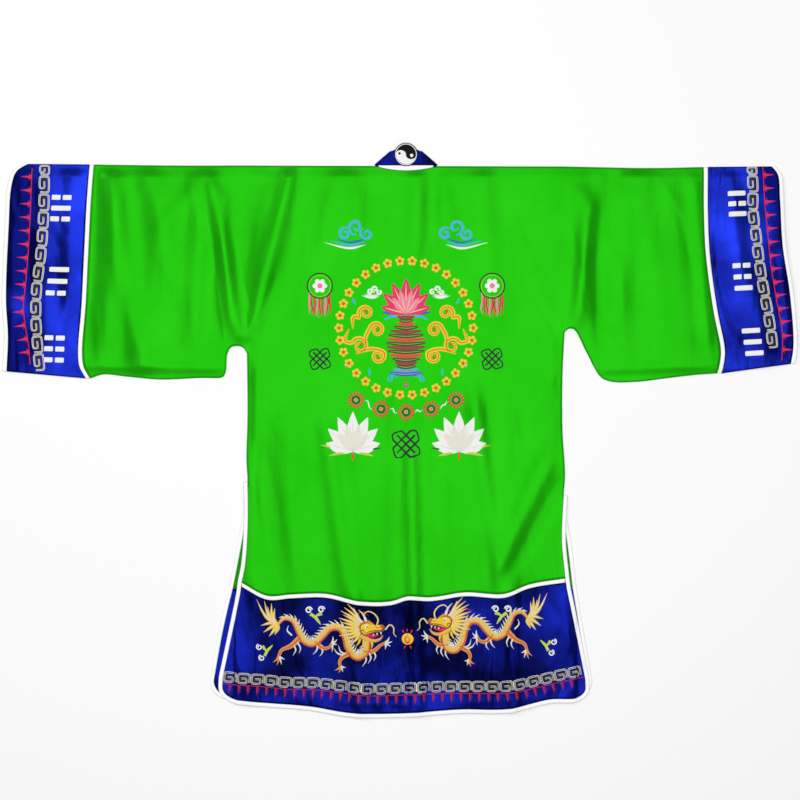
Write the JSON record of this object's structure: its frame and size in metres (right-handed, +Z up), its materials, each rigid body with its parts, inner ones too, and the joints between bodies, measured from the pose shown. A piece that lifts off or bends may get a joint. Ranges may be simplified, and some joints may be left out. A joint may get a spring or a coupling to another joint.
{
  "type": "taoist robe laid flat",
  "caption": "Wide-sleeved ceremonial satin robe with contrast cuffs, hem bands and collar, laid flat on its front with the back up.",
  "frame": {"origin": "centre of the bounding box in X and Y, on the surface that the robe lies on", "axes": "+Z up from the surface to the back of the robe, +Y towards the neck, +X towards the wearer's right sleeve"},
  "size_m": [1.589, 1.1492, 0.0114],
  "materials": {
    "green_satin": "satin",
    "blue_satin": "satin",
    "white_piping": "satin",
    "patch_felt": "matte",
    "embroidery_thread": "satin"
  },
  "bodies": {
    "root": {"back": "green_satin", "back_hem_band": "blue_satin", "back_hem_seam_piping": "white_piping", "back_edge_piping": "white_piping", "front_left": "green_satin", "front_hem_band_left": "blue_satin", "front_edge_piping_left": "white_piping", "front_opening_piping_left": "white_piping", "cuff_left": "blue_satin", "cuff_seam_piping_left": "white_piping", "cuff_mouth_piping_left": "white_piping", "front_right": "green_satin", "front_hem_band_right": "blue_satin", "front_edge_piping_right": "white_piping", "front_opening_piping_right": "white_piping", "cuff_right": "blue_satin", "cuff_seam_piping_right": "white_piping", "cuff_mouth_piping_right": "white_piping", "collar": "blue_satin", "neck_piping": "white_piping", "neck_patch": "patch_felt"}
  },
  "joints": []
}
